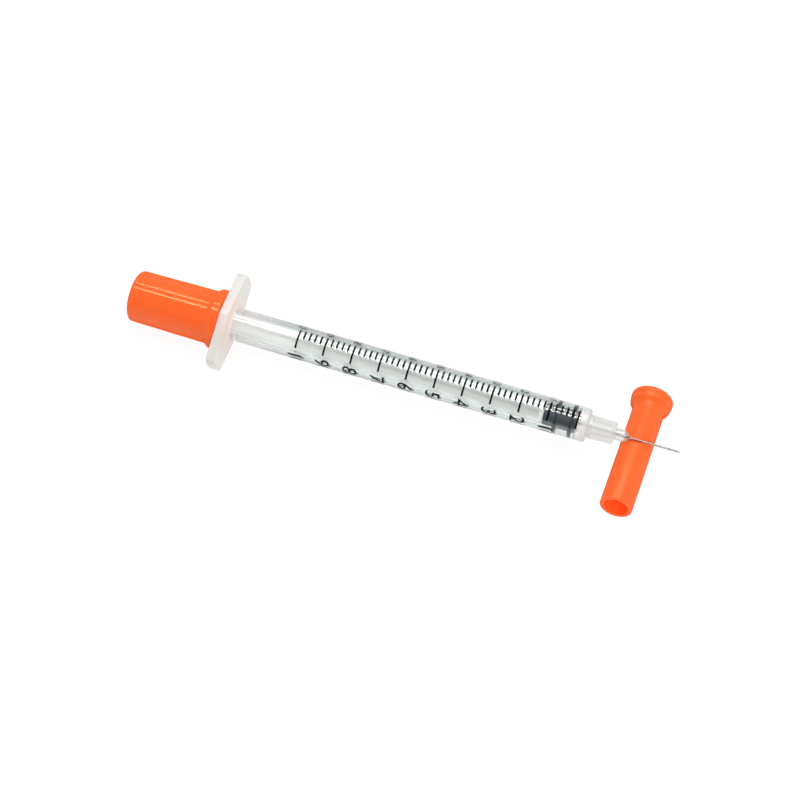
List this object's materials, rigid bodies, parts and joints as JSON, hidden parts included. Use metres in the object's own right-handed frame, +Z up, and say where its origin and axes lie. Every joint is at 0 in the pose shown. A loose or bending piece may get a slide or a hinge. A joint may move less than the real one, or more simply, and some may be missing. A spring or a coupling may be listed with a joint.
{
  "type": "insulin syringe",
  "caption": "Slim 1 mL syringe with a fixed fine needle, finger flange, rubber-tipped plunger under an orange cap, and its orange needle shield lying crosswise under the needle.",
  "frame": {"origin": "on the barrel's axis, at the middle of the plunger cap's closed end", "axes": "+X along the barrel towards the needle, +Z up, +Y to the far side"},
  "size_m": [0.1113, 0.0267, 0.0131],
  "materials": {
    "clear_plastic": "clear moulded polypropylene, smooth and glossy, with a slightly milky flange",
    "black_ink": "opaque screen-printed ink",
    "needle_steel": "drawn and polished stainless steel",
    "clear_resin": "clear cured adhesive, glossy",
    "white_plastic": "natural translucent moulded plastic",
    "dark_rubber": "dark blue-grey moulded rubber, lightly oiled",
    "orange_plastic": "bright orange glossy polyethylene"
  },
  "bodies": {
    "barrel": {"barrel": "clear_plastic", "scale_print": "black_ink", "needle": "needle_steel", "needle_adhesive": "clear_resin"},
    "plunger": {"plunger_rod": "white_plastic", "stopper": "dark_rubber"},
    "plunger_cap": {"plunger_cap": "orange_plastic"},
    "needle_shield": {"needle_shield": "orange_plastic"}
  },
  "joints": [
    {"name": "plunger_draw", "type": "slide", "parent": "barrel", "child": "plunger", "axis": [-1, 0, 0], "range_m": [0, 0.06]},
    {"name": "cap_pull", "type": "slide", "parent": "plunger", "child": "plunger_cap", "axis": [-1, 0, 0], "range_m": [0, 0.022]},
    {"name": "shield_slide", "type": "slide", "parent": "barrel", "child": "needle_shield", "axis": [0.0052, 1, 0], "range_m": [0, 0.03]}
  ]
}
